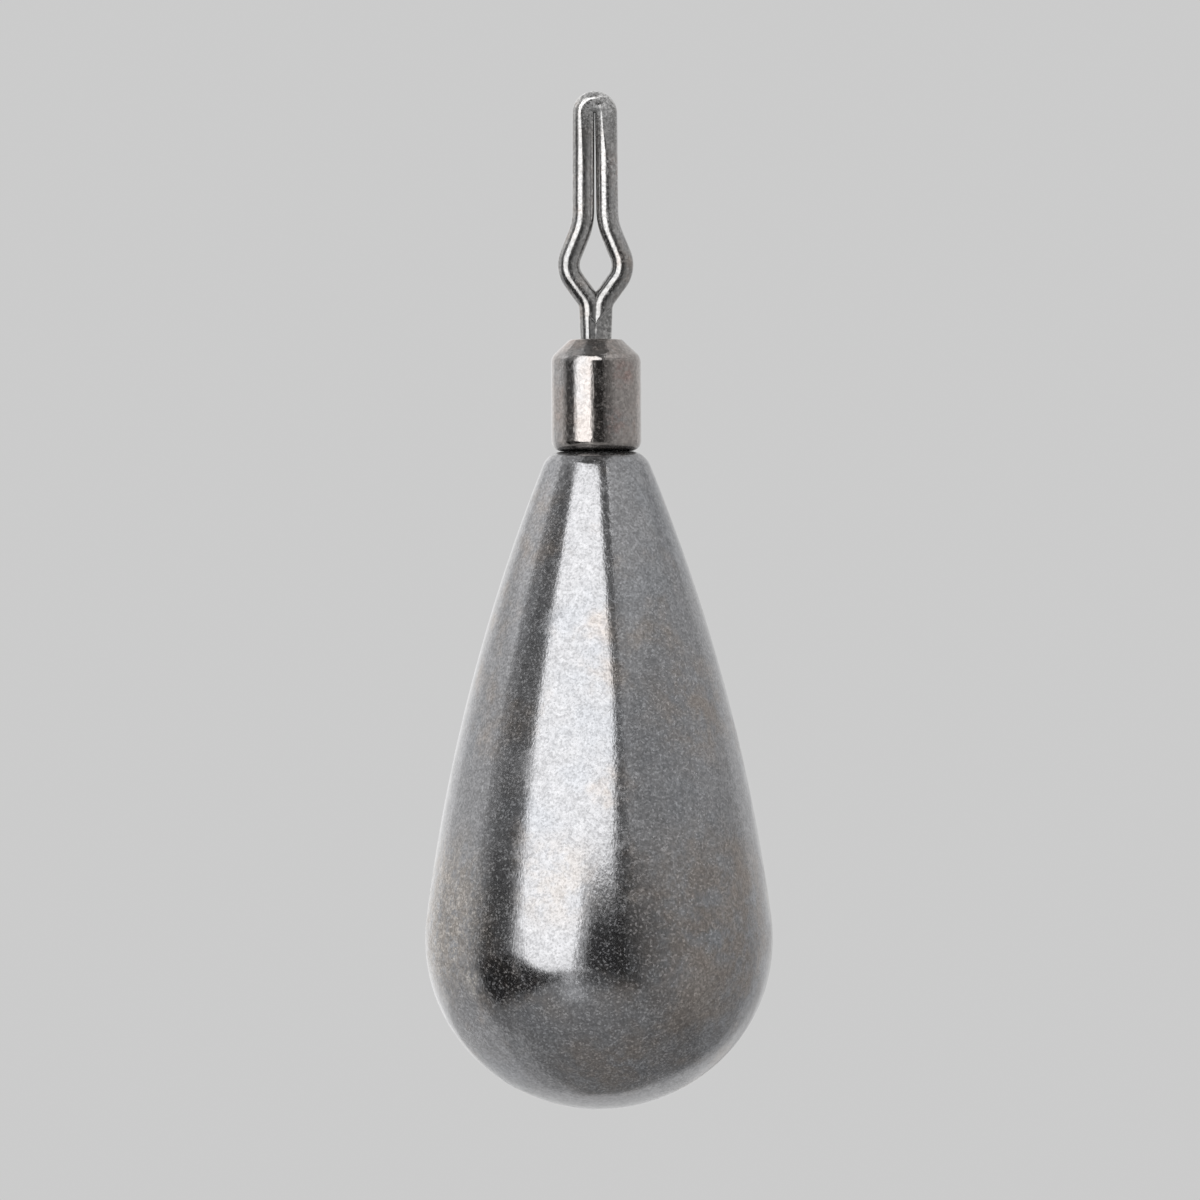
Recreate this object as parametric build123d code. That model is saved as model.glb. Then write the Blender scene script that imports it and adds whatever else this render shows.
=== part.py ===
from build123d import *
import os
from math import acos, atan2, cos, degrees, hypot, radians, sin, sqrt, tan

# Swivel sinker for a drop-shot rig: a teardrop weight that turns under a small barrel swivel,
# which turns under a spring-wire clip that pinches the fishing line.
# Millimetres, +Z up along the swivel axis. The origin is the middle of the line eye: the line
# passes through it along Y and is then pulled up into the pinch slot above it.

# Line clip: one wire, bent flat in the XZ plane, heights measured from the middle of the eye
wire_diameter = 0.63
clip_height = 5.03
slot_gap_top = 0.01
slot_gap_mouth = 0.05
slot_mouth_height = 1.27
slot_mouth_bend = 1.80
eye_spread = 1.72
eye_bend = 0.75
throat_depth = 0.95
throat_width = 0.96
throat_bend = 0.60
neck_length = 1.05

# Coined top of the clip: front and back are pressed to flats that run out down the legs
coined_thickness = 0.46
coined_length = 1.60

# Barrel: a drawn cup whose open top is swaged in over the clip's head
barrel_diameter = 2.54
barrel_length = 3.16
barrel_wall = 0.36
shoulder_height = 0.50
shoulder_flat_diameter = 1.48
shoulder_top_round = 0.14
shoulder_side_round = 0.36
base_round = 0.30
cup_corner_round = 0.12

# Heads upset on the wire ends inside the barrel, and the clearances that let them turn
running_clearance = 0.05
head_clearance = 0.05
head_rim = 0.34
head_crown = 0.16
head_edge_round = 0.10
leg_embed = 0.30
journal_start = 0.10

# Weight: flat top, shoulder, flank, belly and nose are tangent arcs, revolved
swivel_gap = 0.01
body_diameter = 9.84
body_length = 18.61
belly_inset = 0.19
nose_lift = 0.17
flank_radius = 52.0
top_round = 0.61
top_land = 0.11

# Anchor hairpin, and the bore and adhesive that hold it in the weight
hairpin_gap = 0.30
anchor_length = 5.40
anchor_journal_length = 0.50
anchor_spread_length = 1.10
anchor_bend = 0.70
glue_gap = 0.06
glue_recess = 0.14
bore_end_room = 0.80
bore_mouth_chamfer = 0.05
drill_point_angle = 118.0

# Sizes that follow from the driving dimensions
wire_radius = wire_diameter / 2
journal_radius = wire_diameter * sqrt(2) / 2  # two wires pressed round keep their section area
hole_radius = journal_radius + running_clearance
neck_x = journal_radius - wire_radius
barrel_radius = barrel_diameter / 2
cup_radius = barrel_radius - barrel_wall
head_radius = cup_radius - head_clearance
shoulder_flat_radius = shoulder_flat_diameter / 2
cone_angle = atan2(shoulder_height, barrel_radius - shoulder_flat_radius)
hairpin_x = hairpin_gap / 2 + wire_radius
bore_radius = hairpin_x + wire_radius + glue_gap
bore_depth = anchor_length + bore_end_room

barrel_top = -(throat_depth + neck_length)
barrel_bottom = barrel_top - barrel_length
cup_floor = barrel_bottom + barrel_wall
body_top = barrel_bottom - swivel_gap
body_bottom = body_top - body_length


def revolved(*edges):
    """Solid of revolution about the swivel axis of a closed outline drawn as (radius, height)."""
    return revolve(Plane.XZ * make_face(Curve() + list(edges)), Axis.Z)


def wire_form(*edges):
    """Symmetrical wire form: round wire along a path drawn as (x, height), and its mirror image."""
    path = Plane.XZ * (Curve() + list(edges))
    section = Plane(origin=path @ 0, z_dir=path % 0) * Circle(wire_radius)
    half = sweep(section, path)
    return half + mirror(half, Plane.YZ)


def inner_cone_height(radius):
    """Height of the cone under the swaged shoulder, one wall thickness inside the outer one."""
    outer = barrel_top - (radius - shoulder_flat_radius) * tan(cone_angle)
    return outer - barrel_wall / cos(cone_angle)


def make_clip_wire():
    """Wire bent into a pinch slot above an eye, with its two ends pressed together below."""
    top_x = (slot_gap_top + wire_diameter) / 2
    mouth_x = (slot_gap_mouth + wire_diameter) / 2
    throat_x = throat_width / 2 - wire_radius
    end_x = neck_x - (throat_x - neck_x) * leg_embed / neck_length

    # The legs lean towards each other, so the slot narrows upwards and the line wedges in it.
    centre_top = clip_height - wire_radius
    lean = atan2(mouth_x - top_x, centre_top - top_x - slot_mouth_height)
    top_bend = top_x / cos(lean)
    bend_centre = centre_top - top_bend
    wire = wire_form(
        FilletPolyline(
            (end_x, barrel_top - leg_embed),
            (throat_x, -throat_depth),
            (eye_spread / 2, 0),
            (mouth_x, slot_mouth_height),
            (top_x, bend_centre + top_bend * sin(lean)),
            radius=[throat_bend, eye_bend, slot_mouth_bend],
        ),
        CenterArc((0, bend_centre), top_bend, degrees(lean), 90 - degrees(lean)),
    )

    # Flats: what stands in front of and behind the coined thickness is pressed away.
    flat_start = clip_height - coined_length
    wedge = make_face(
        Polyline(
            (wire_radius, flat_start),
            (coined_thickness / 2, clip_height),
            (wire_diameter, clip_height),
            (wire_diameter, flat_start),
            close=True,
        )
    )
    pressed = extrude(Plane.YZ * wedge, amount=wire_diameter + slot_gap_mouth, both=True)
    return wire - pressed - mirror(pressed, Plane.XZ)


def make_line_clip():
    """Clip wire whose ends become one round journal, upset to a head inside the barrel."""
    # The head's cone bears under the barrel's swaged shoulder.
    gap = head_clearance / cos(cone_angle)
    seat_top = inner_cone_height(journal_radius) - gap
    seat_rim = inner_cone_height(head_radius) - gap
    journal_top = barrel_top - journal_start
    underside = seat_rim - head_rim - head_crown
    head = revolved(
        FilletPolyline(
            (0, journal_top),
            (journal_radius, journal_top),
            (journal_radius, seat_top),
            (head_radius, seat_rim),
            (head_radius, seat_rim - head_rim),
            (journal_radius, underside),
            (0, underside),
            radius=[0, 0, head_edge_round, head_edge_round, 0],
        ),
        Line((0, underside), (0, journal_top)),
    )
    return make_clip_wire() + head


def make_swivel_barrel():
    """Cup with a hole in its floor and its rim swaged in to a second hole at the top."""
    outer = FilletPolyline(
        (hole_radius, barrel_top),
        (shoulder_flat_radius, barrel_top),
        (barrel_radius, barrel_top - shoulder_height),
        (barrel_radius, barrel_bottom),
        (hole_radius, barrel_bottom),
        radius=[shoulder_top_round, shoulder_side_round, base_round],
    )
    inner = FilletPolyline(
        (hole_radius, barrel_bottom),
        (hole_radius, cup_floor),
        (cup_radius, cup_floor),
        (cup_radius, inner_cone_height(cup_radius)),
        (hole_radius, inner_cone_height(hole_radius)),
        (hole_radius, barrel_top),
        radius=[0, cup_corner_round, cup_corner_round, 0],
    )
    return revolved(outer, inner)


def make_anchor_eye():
    """Hairpin of the same wire, headed above the barrel's floor and buried in the weight's bore."""
    journal_bottom = body_top - anchor_journal_length
    spread_bottom = journal_bottom - anchor_spread_length
    bend_centre = body_top - anchor_length + wire_radius + hairpin_x
    lean = (hairpin_x - neck_x) / anchor_spread_length
    hairpin = wire_form(
        FilletPolyline(
            (neck_x - lean * leg_embed, journal_bottom + leg_embed),
            (hairpin_x, spread_bottom),
            (hairpin_x, bend_centre),
            radius=[anchor_bend],
        ),
        CenterArc((0, bend_centre), hairpin_x, 0, -90),
    )

    # The head's flat face carries the weight on the barrel's floor.
    seat = cup_floor + head_clearance
    crown = seat + head_rim + head_crown
    head = revolved(
        FilletPolyline(
            (0, crown),
            (journal_radius, crown),
            (head_radius, seat + head_rim),
            (head_radius, seat),
            (journal_radius, seat),
            (journal_radius, journal_bottom),
            (0, journal_bottom),
            radius=[0, head_edge_round, cup_corner_round + head_clearance, 0, 0],
        ),
        Line((0, journal_bottom), (0, crown)),
    )
    return hairpin + head


def bore_space(*mouth):
    """Drilled blind hole for the anchor, from the given mouth outline down to its drill point."""
    drill_corner = body_top - bore_depth
    drill_tip = drill_corner - bore_radius / tan(radians(drill_point_angle / 2))
    return revolved(Polyline(*mouth, (bore_radius, drill_corner), (0, drill_tip), close=True))


def make_sinker_body():
    """Teardrop weight: an outline of tangent arcs, revolved, with the anchor's bore in its top."""
    # The belly's arc is centred a little off the axis and the nose's on it, a little higher.
    belly_radius = body_diameter / 2 - belly_inset
    nose_radius = belly_radius + hypot(belly_inset, nose_lift)
    nose_z = body_bottom + nose_radius
    belly_z = nose_z - nose_lift
    shoulder_x = bore_radius + top_land
    shoulder_z = body_top - top_round

    # The flank's arc holds the belly's and the shoulder's arcs, tangent inside. Its centre closes
    # a triangle with theirs, in which all three sides are known.
    across = hypot(shoulder_x - belly_inset, shoulder_z - belly_z)
    to_belly = flank_radius - belly_radius
    to_shoulder = flank_radius - top_round
    opening = acos((across**2 + to_belly**2 - to_shoulder**2) / (2 * across * to_belly))
    bearing = atan2(shoulder_z - belly_z, shoulder_x - belly_inset) + opening
    flank_x = belly_inset + to_belly * cos(bearing)
    flank_z = belly_z + to_belly * sin(bearing)

    # Directions, in degrees, in which each arc meets the next
    nose_end = degrees(atan2(-nose_lift, belly_inset))
    belly_end = degrees(atan2(belly_z - flank_z, belly_inset - flank_x))
    flank_end = degrees(atan2(shoulder_z - flank_z, shoulder_x - flank_x))
    body = revolved(
        CenterArc((0, nose_z), nose_radius, -90, nose_end + 90),
        CenterArc((belly_inset, belly_z), belly_radius, nose_end, belly_end - nose_end),
        CenterArc((flank_x, flank_z), flank_radius, belly_end, flank_end - belly_end),
        CenterArc((shoulder_x, shoulder_z), top_round, flank_end, 90 - flank_end),
        Polyline((shoulder_x, body_top), (0, body_top), (0, body_bottom)),
    )
    return body - bore_space(
        (0, body_top),
        (bore_radius + bore_mouth_chamfer, body_top),
        (bore_radius, body_top - bore_mouth_chamfer),
    )


def make_bond_plug(anchor):
    """Cured adhesive that fills the bore around the anchor, a little below the bore's mouth."""
    top = body_top - glue_recess
    return bore_space((0, top), (bore_radius, top)) - anchor


anchor_eye = make_anchor_eye()
pieces = {
    "line_clip": make_line_clip(),
    "swivel_barrel": make_swivel_barrel(),
    "anchor_eye": anchor_eye,
    "bond_plug": make_bond_plug(anchor_eye),
    "sinker_body": make_sinker_body(),
}

os.makedirs("parts", exist_ok=True)
for name, piece in pieces.items():
    export_step(piece, f"parts/{name}.step")
    print(name, "solids", len(piece.solids()), "volume", round(piece.volume, 4), "mm3")
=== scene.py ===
"""Looks of a swivel sinker: a teardrop weight under a barrel swivel, hung from a wire line clip.

Lengths are in metres unless their place says millimetres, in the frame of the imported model. The
origin is the middle of the line eye, +Z runs up the swivel axis, and the camera looks along +Y.
"""
import logging
import math
from abc import ABC, abstractmethod
from dataclasses import dataclass, field
from enum import Enum
from typing import Any, ClassVar

import bmesh
import bpy
from bmesh.types import BMEdge, BMesh, BMFace, BMVert
from mathutils import Matrix, Vector


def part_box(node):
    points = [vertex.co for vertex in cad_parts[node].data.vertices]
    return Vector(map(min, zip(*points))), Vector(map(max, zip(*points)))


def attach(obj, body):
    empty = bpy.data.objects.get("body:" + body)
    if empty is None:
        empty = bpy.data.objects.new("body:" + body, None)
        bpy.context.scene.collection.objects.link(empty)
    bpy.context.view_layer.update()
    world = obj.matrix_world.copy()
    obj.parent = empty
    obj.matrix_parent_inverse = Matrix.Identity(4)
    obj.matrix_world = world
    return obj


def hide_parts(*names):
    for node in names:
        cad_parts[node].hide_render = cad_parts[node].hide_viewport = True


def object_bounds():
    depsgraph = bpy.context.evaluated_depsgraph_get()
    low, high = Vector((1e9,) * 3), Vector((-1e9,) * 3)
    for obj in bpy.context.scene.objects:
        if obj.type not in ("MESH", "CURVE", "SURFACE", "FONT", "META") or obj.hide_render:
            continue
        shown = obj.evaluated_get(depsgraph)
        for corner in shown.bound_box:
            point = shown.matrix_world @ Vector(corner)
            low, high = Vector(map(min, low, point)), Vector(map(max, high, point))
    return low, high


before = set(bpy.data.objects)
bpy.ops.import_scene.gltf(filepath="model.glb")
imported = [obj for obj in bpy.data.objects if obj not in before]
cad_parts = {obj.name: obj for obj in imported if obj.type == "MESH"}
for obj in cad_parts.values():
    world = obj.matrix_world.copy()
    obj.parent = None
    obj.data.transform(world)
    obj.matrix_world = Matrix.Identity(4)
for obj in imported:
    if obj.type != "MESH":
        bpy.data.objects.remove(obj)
CAD_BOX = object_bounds()

MM = 0.001
WELD = 1e-7  # vertices nearer than this are one vertex

Colour = tuple[float, float, float]
Direction = tuple[float, float]  # degrees to the right of the camera, and degrees above level

log = logging.getLogger("swivel_sinker")


class Body(Enum):
    """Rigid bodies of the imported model."""

    CLIP = "clip"
    BARREL = "barrel"
    SINKER = "sinker"


class Slot(Enum):
    """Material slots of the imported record."""

    WIRE = "clip_wire"
    BARREL = "barrel_metal"
    WEIGHT = "tungsten"


class NodeSketch:
    """Adds nodes to a shader tree, where an input takes a value or another node's output."""

    def __init__(self, tree: bpy.types.NodeTree) -> None:
        """Starts an empty sketch in the given tree."""
        self.tree = tree
        self.tree.nodes.clear()

    def add(
        self, kind: str, inputs: dict[str | int, Any] | None = None, **settings: Any
    ) -> bpy.types.Node:
        """Adds one node.

        Args:
            kind: Blender's name of the node type.
            inputs: a value or an output socket for each input, by name or number.
            **settings: properties of the node, set before its inputs.

        Returns:
            The new node.
        """
        node = self.tree.nodes.new(kind)
        for key, value in settings.items():
            setattr(node, key, value)
        for key, value in (inputs or {}).items():
            if isinstance(value, bpy.types.NodeSocket):
                self.tree.links.new(value, node.inputs[key])
            else:
                node.inputs[key].default_value = value
        return node

    def group(self, tree: bpy.types.NodeTree, inputs: dict[str, Any]) -> bpy.types.NodeOutputs:
        """Places a shared node group and returns its outputs."""
        return self.add("ShaderNodeGroup", inputs, node_tree=tree).outputs

    def math(self, operation: str, first: Any, second: Any = 0.0) -> bpy.types.NodeSocket:
        """Result of one Math node."""
        return self.add("ShaderNodeMath", {0: first, 1: second}, operation=operation).outputs[0]

    def scaled(self, vector: Any, factors: Any) -> bpy.types.NodeSocket:
        """A vector multiplied by another one, part by part."""
        return self.add("ShaderNodeVectorMath", {0: vector, 1: factors}, operation="MULTIPLY").outputs[0]

    def shifted(self, vector: Any, shift: Any) -> bpy.types.NodeSocket:
        """A vector with another one added to it."""
        return self.add("ShaderNodeVectorMath", {0: vector, 1: shift}).outputs[0]

    def ramp(
        self, value: Any, low: Any, high: Any, start: Any = 0.0, end: Any = 1.0
    ) -> bpy.types.NodeSocket:
        """A smooth step from start to end as a value goes from low to high."""
        inputs = {"Value": value, "From Min": low, "From Max": high, "To Min": start, "To Max": end}
        return self.add("ShaderNodeMapRange", inputs, interpolation_type="SMOOTHSTEP").outputs[0]

    def mixed(self, factor: Any, first: Any, second: Any, how: str = "MIX") -> bpy.types.NodeSocket:
        """Two colours mixed by a factor."""
        inputs = {0: factor, 6: first, 7: second}
        return self.add("ShaderNodeMix", inputs, data_type="RGBA", blend_type=how).outputs[2]

    def noise(self, vector: Any, scale: Any, detail: float, roughness: float = 0.5) -> bpy.types.NodeSocket:
        """Cloudy noise between 0 and 1."""
        inputs = {"Vector": vector, "Scale": scale, "Detail": detail, "Roughness": roughness}
        return self.add("ShaderNodeTexNoise", inputs).outputs["Fac"]


class GroupSketch(NodeSketch):
    """A shader node group with named inputs and outputs, built once and used by several materials."""

    KINDS: ClassVar[dict[type, str]] = {
        float: "NodeSocketFloat",
        Vector: "NodeSocketVector",
        tuple: "NodeSocketColor",
    }

    def __init__(self, name: str, inputs: dict[str, type], outputs: dict[str, type]) -> None:
        """Makes the group and its sockets.

        Args:
            name: the group's name.
            inputs: the kind of each input, by name.
            outputs: the kind of each output, by name.
        """
        super().__init__(bpy.data.node_groups.new(name, "ShaderNodeTree"))
        for label, kind in inputs.items():
            self.tree.interface.new_socket(label, in_out="INPUT", socket_type=self.KINDS[kind])
        for label, kind in outputs.items():
            self.tree.interface.new_socket(label, in_out="OUTPUT", socket_type=self.KINDS[kind])
        self.given = self.add("NodeGroupInput").outputs

    def put_out(self, **results: bpy.types.NodeSocket) -> bpy.types.NodeTree:
        """Links the results to the group's outputs and returns the finished group."""
        self.add("NodeGroupOutput", results)
        return self.tree


class SurfaceEffects:
    """Node groups that the finishes share."""

    NOISE_MIDDLE = 0.5
    GRAIN_SQUEEZE = (1.0, 1.0, 0.4)  # draws the grain out along Z
    SHARP_SPECKS = 0.35  # share of the specks that have hard edges
    FINE_RELIEF = 0.2  # height of the fine grain on the drawn-out grain
    COOL_SHIFT = (0.031, 0.017, 0.023)  # takes the cool patches away from the warm ones
    DULL_SHIFT = (0.011, 0.043, 0.037)  # takes the dull spots away from both
    MOTTLE_FINENESS = 9.0  # how many times finer the mottling is than the patches
    DULL_FINENESS = 1.4  # how many times finer the dull spots are than the patches
    SCUFF_GAPS = 0.8  # fineness of the gaps that break the scuffs up
    STAIN_CORE = 0.25  # share of the reach in which a stain is at its densest
    VEIN_WIDTH = 0.05  # as a step of the noise that draws the veins

    def __init__(self) -> None:
        """Builds each group once."""
        self.grain = self._grain()
        self.tarnish = self._tarnish()
        self.scuffs = self._scuffs()
        self.stain_and_painted_light = self._stain_and_painted_light()

    @classmethod
    def _grain(cls) -> bpy.types.NodeTree:
        """Fine metal grain: hard and soft specks of colour, and a relief drawn out along Z.

        Returns:
            The node group.
        """
        group = GroupSketch(
            "metal_grain",
            {"Vector": Vector, "Size": float, "Streaking": float},
            {"Speck": float, "Height": float},
        )
        place = group.given["Vector"]
        scale = group.math("DIVIDE", 1.0, group.given["Size"])
        cells = group.add("ShaderNodeTexVoronoi", {"Vector": place, "Scale": scale})
        speck = group.add("ShaderNodeSeparateColor", {0: cells.outputs["Color"]}).outputs[0]
        fine = group.noise(place, scale, detail=2.0, roughness=0.6)
        along = group.noise(group.scaled(place, cls.GRAIN_SQUEEZE), scale, detail=1.0)
        above_middle = group.math("SUBTRACT", along, cls.NOISE_MIDDLE)
        streaked = group.math("MULTIPLY", above_middle, group.given["Streaking"])
        sharp = group.math("MULTIPLY", speck, cls.SHARP_SPECKS)
        soft = group.math("MULTIPLY", fine, 1 - cls.SHARP_SPECKS)
        relief = group.math("MULTIPLY", fine, cls.FINE_RELIEF)
        return group.put_out(
            Speck=group.math("ADD", group.math("ADD", sharp, soft), streaked),
            Height=group.math("ADD", along, relief),
        )

    @classmethod
    def _tarnish(cls) -> bpy.types.NodeTree:
        """Soft warm and cool patches over a clean colour, finely mottled, and ragged dull spots.

        Returns:
            The node group.
        """
        group = GroupSketch(
            "tarnish_patches",
            {
                "Vector": Vector,
                "Size": float,
                "Clean": tuple,
                "Warm": tuple,
                "Cool": tuple,
                "Mottle": float,
            },
            {"Colour": tuple, "Dull": float},
        )
        place = group.given["Vector"]
        scale = group.math("DIVIDE", 1.0, group.given["Size"])
        warm_noise = group.noise(place, scale, detail=5.0, roughness=0.62)
        warm = group.ramp(warm_noise, low=0.50, high=0.66)
        cool_place = group.shifted(place, cls.COOL_SHIFT)
        cool_noise = group.noise(cool_place, scale, detail=4.0, roughness=0.6)
        cool = group.ramp(cool_noise, low=0.50, high=0.68)
        dull_place = group.shifted(place, cls.DULL_SHIFT)
        dull_scale = group.math("MULTIPLY", scale, cls.DULL_FINENESS)
        dull_noise = group.noise(dull_place, dull_scale, detail=8.0, roughness=0.7)
        dull = group.ramp(dull_noise, low=0.53, high=0.62)
        tinted = group.mixed(warm, group.given["Clean"], group.given["Warm"])
        tinted = group.mixed(cool, tinted, group.given["Cool"])
        mottle_scale = group.math("MULTIPLY", scale, cls.MOTTLE_FINENESS)
        clouds = group.noise(place, mottle_scale, detail=4.0, roughness=0.65)
        darkest = group.math("SUBTRACT", 1.0, group.given["Mottle"])
        lightest = group.math("ADD", 1.0, group.given["Mottle"])
        shade = group.ramp(clouds, low=0.3, high=0.7, start=darkest, end=lightest)
        return group.put_out(Colour=group.mixed(1.0, tinted, shade, "MULTIPLY"), Dull=dull)

    @classmethod
    def _scuffs(cls) -> bpy.types.NodeTree:
        """Short thin rub marks where slow noise crosses its middle value.

        Returns:
            The node group.
        """
        group = GroupSketch("scuffs", {"Vector": Vector, "Size": float, "Width": float}, {"Mark": float})
        scale = group.math("DIVIDE", 1.0, group.given["Size"])
        path = group.noise(group.given["Vector"], scale, detail=2.0)
        line = group.math("ABSOLUTE", group.math("SUBTRACT", path, cls.NOISE_MIDDLE))
        thin = group.ramp(line, low=0.0, high=group.given["Width"], start=1.0, end=0.0)
        gap_scale = group.math("MULTIPLY", scale, cls.SCUFF_GAPS)
        kept = group.noise(group.given["Vector"], gap_scale, detail=1.0)
        return group.put_out(Mark=group.math("MULTIPLY", thin, group.ramp(kept, low=0.6, high=0.68)))

    @classmethod
    def _stain_and_painted_light(cls) -> bpy.types.NodeTree:
        """Ragged blot, or a net of thin veins, that is densest at its centre and ends at its reach.

        Returns:
            The node group.
        """
        group = GroupSketch(
            "stain_and_painted_light",
            {
                "Vector": Vector,
                "Centre": Vector,
                "Reach": float,
                "Flatness": float,
                "Size": float,
                "Veins": float,
            },
            {"Mask": float},
        )
        place = group.given["Vector"]
        ends = {0: place, 1: group.given["Centre"]}
        offset = group.add("ShaderNodeVectorMath", ends, operation="SUBTRACT").outputs[0]
        factors = group.add("ShaderNodeCombineXYZ", {0: 1.0, 1: 1.0, 2: group.given["Flatness"]})
        squeezed = group.scaled(offset, factors.outputs[0])
        away = group.add("ShaderNodeVectorMath", {0: squeezed}, operation="LENGTH").outputs["Value"]
        share = group.math("DIVIDE", away, group.given["Reach"])
        near = group.ramp(share, low=cls.STAIN_CORE, high=1.0, start=1.0, end=0.0)
        scale = group.math("DIVIDE", 1.0, group.given["Size"])
        clouds = group.noise(place, scale, detail=6.0, roughness=0.65)
        ragged = group.ramp(clouds, low=0.38, high=0.62)
        edge = group.math("ABSOLUTE", group.math("SUBTRACT", clouds, cls.NOISE_MIDDLE))
        veins = group.ramp(edge, low=0.0, high=cls.VEIN_WIDTH, start=1.0, end=0.0)
        broken = group.add("ShaderNodeMix", {0: group.given["Veins"], 2: ragged, 3: veins}).outputs[0]
        return group.put_out(Mask=group.math("MULTIPLY", near, broken))


@dataclass(frozen=True)
class StainAndPaintedLight:
    """Blot on the metal at a known place, with its sizes in millimetres: a stain, painted shade or a
    painted highlight.

    Args:
        centre: its middle.
        reach: how far it goes.
        colour: its linear colour.
        strength: how much of the metal's own colour it takes away, at most.
        dulling: what it adds to the roughness, at most.
        blot_size: size of the blots that it breaks up into.
        veins: how far it goes from blots, at 0, to thin veins, at 1.
        flatness: how many times less it reaches along Z.
    """

    centre: tuple[float, float, float]
    reach: float
    colour: Colour
    strength: float
    dulling: float
    blot_size: float
    veins: float = 0.0
    flatness: float = 1.0

    def mask(
        self, sketch: NodeSketch, effects: SurfaceEffects, place: bpy.types.NodeSocket
    ) -> bpy.types.NodeSocket:
        """Places the mask of the stain or painted light in a material.

        Args:
            sketch: the material's nodes.
            effects: the shared node groups.
            place: the coordinates that the material reads.

        Returns:
            How dense the stain or painted light is, from 0 to 1.
        """
        inputs = {
            "Vector": place,
            "Centre": Vector(self.centre) * MM,
            "Reach": self.reach * MM,
            "Flatness": self.flatness,
            "Size": self.blot_size * MM,
            "Veins": self.veins,
        }
        return sketch.group(effects.stain_and_painted_light, inputs)["Mask"]


@dataclass(frozen=True)
class MetalFinish:
    """Bare metal with a fine grain, tarnish patches, rub marks, stains, and painted shade and highlights.

    Colours are linear, and sizes and depths are in metres.

    Args:
        name: the material's name.
        clean: colour of the clean metal.
        warm: colour of its warm tarnish.
        cool: colour of its cool tarnish.
        roughness: roughness of the clean metal.
        patch_size: size of the tarnish patches.
        mottle: how much the fine mottling lightens and darkens, as a share.
        dulling: what dull spots and rub marks add to the roughness.
        grain_size: size of the specks.
        grain_depth: depth of the grain's relief.
        grain_contrast: how much the specks lighten and darken, as a share.
        grain_streaking: how much the specks follow the drawn-out grain.
        haze: share of a matte film all over.
        dust: share of matte dust on the lightest specks.
        wave_size: size of the shallow waves that bend reflections.
        wave_depth: depth of these waves.
        scuff_size: size of the rub marks.
        scuff_width: width of the rub marks, as a step of the noise that draws them.
        stains_and_painted_light: blots at known places, of stains, painted shade or painted highlights,
            each over the one before.
    """

    SPECK_RANGE: ClassVar[tuple[float, float]] = (0.2, 0.8)  # darkest and lightest specks
    DUSTY_SPECKS: ClassVar[tuple[float, float]] = (0.54, 0.74)  # where dust starts and is full

    name: str
    clean: Colour
    warm: Colour
    cool: Colour
    roughness: float
    patch_size: float
    mottle: float
    dulling: float
    grain_size: float
    grain_depth: float
    grain_contrast: float
    grain_streaking: float
    haze: float
    dust: float
    wave_size: float
    wave_depth: float
    scuff_size: float
    scuff_width: float
    stains_and_painted_light: tuple[StainAndPaintedLight, ...] = ()

    def material(self, effects: SurfaceEffects) -> bpy.types.Material:
        """Builds the material.

        Args:
            effects: the shared node groups.

        Returns:
            The finished material.
        """
        made = bpy.data.materials.new(self.name)
        made.use_nodes = True
        sketch = NodeSketch(made.node_tree)
        place = sketch.add("ShaderNodeTexCoord").outputs["Object"]
        grain = sketch.group(
            effects.grain,
            {"Vector": place, "Size": self.grain_size, "Streaking": self.grain_streaking},
        )
        tarnish = sketch.group(
            effects.tarnish,
            {
                "Vector": place,
                "Size": self.patch_size,
                "Clean": (*self.clean, 1.0),
                "Warm": (*self.warm, 1.0),
                "Cool": (*self.cool, 1.0),
                "Mottle": self.mottle,
            },
        )
        scuffs = sketch.group(
            effects.scuffs,
            {"Vector": place, "Size": self.scuff_size, "Width": self.scuff_width},
        )
        colour = sketch.mixed(scuffs["Mark"], tarnish["Colour"], (*self.clean, 1.0))
        dull = sketch.math("MAXIMUM", tarnish["Dull"], scuffs["Mark"])
        roughness = sketch.ramp(dull, 0.0, 1.0, self.roughness, self.roughness + self.dulling)
        # Stains, and painted shade and highlights, each laid over the colour before
        for stain_and_painted_light in self.stains_and_painted_light:
            blot = stain_and_painted_light.mask(sketch, effects, place)
            share = sketch.math("MULTIPLY", blot, stain_and_painted_light.strength)
            colour = sketch.mixed(share, colour, (*stain_and_painted_light.colour, 1.0))
            roughness = sketch.math("ADD", roughness, sketch.math("MULTIPLY", blot, stain_and_painted_light.dulling))
        shade = sketch.ramp(
            grain["Speck"], *self.SPECK_RANGE, 1 - self.grain_contrast, 1 + self.grain_contrast
        )
        colour = sketch.mixed(1.0, colour, shade, "MULTIPLY")
        bare = 1 - self.haze
        metallic = sketch.ramp(grain["Speck"], *self.DUSTY_SPECKS, bare, bare - self.dust)
        shader = sketch.add(
            "ShaderNodeBsdfPrincipled",
            {
                "Base Color": colour,
                "Metallic": metallic,
                "Roughness": roughness,
                "Normal": self._relief(sketch, place, grain["Height"]),
            },
        )
        sketch.add("ShaderNodeOutputMaterial", {"Surface": shader.outputs[0]})
        return made

    def _relief(
        self, sketch: NodeSketch, place: bpy.types.NodeSocket, grain_height: bpy.types.NodeSocket
    ) -> bpy.types.NodeSocket:
        """Shallow waves with the grain on them.

        Args:
            sketch: the material's nodes.
            place: the coordinates that the material reads.
            grain_height: the relief of the grain.

        Returns:
            The normal for the shader.
        """
        waves = sketch.noise(place, 1 / self.wave_size, detail=3.0)
        wavy = sketch.add("ShaderNodeBump", {"Height": waves, "Distance": self.wave_depth})
        grainy = sketch.add(
            "ShaderNodeBump",
            {"Height": grain_height, "Distance": self.grain_depth, "Normal": wavy.outputs[0]},
        )
        return grainy.outputs[0]
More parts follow.
